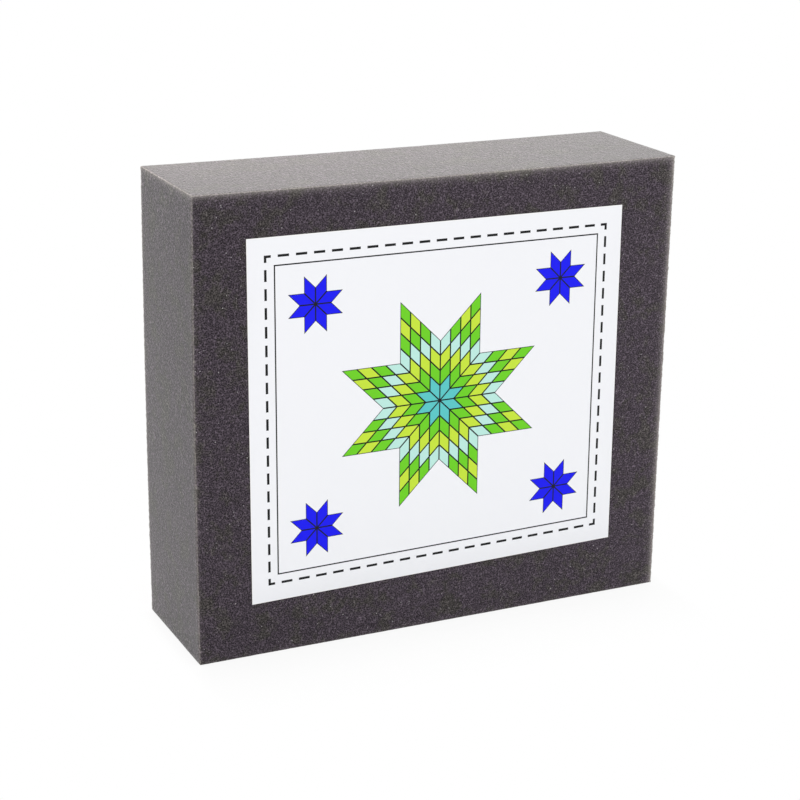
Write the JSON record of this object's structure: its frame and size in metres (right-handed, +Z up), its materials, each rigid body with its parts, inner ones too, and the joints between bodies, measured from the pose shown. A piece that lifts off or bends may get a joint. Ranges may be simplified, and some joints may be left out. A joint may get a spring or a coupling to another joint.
{
  "type": "needle felting mat",
  "caption": "Thick rectangular slab of charcoal open-cell foam with crisp knife-cut edges and a flat paper label on one face, a springy bed for needle felting wool.",
  "frame": {"origin": "middle of the narrow side that the block stands on", "axes": "+X along the width, +Y through the thickness from the labelled front to the bare back, +Z up"},
  "size_m": [0.225, 0.0643, 0.2032],
  "materials": {
    "foam": "matte",
    "adhesive": "satin",
    "label_paper": "satin"
  },
  "bodies": {
    "root": {"foam_block": "foam", "label_adhesive": "adhesive", "label": "label_paper"}
  },
  "joints": []
}
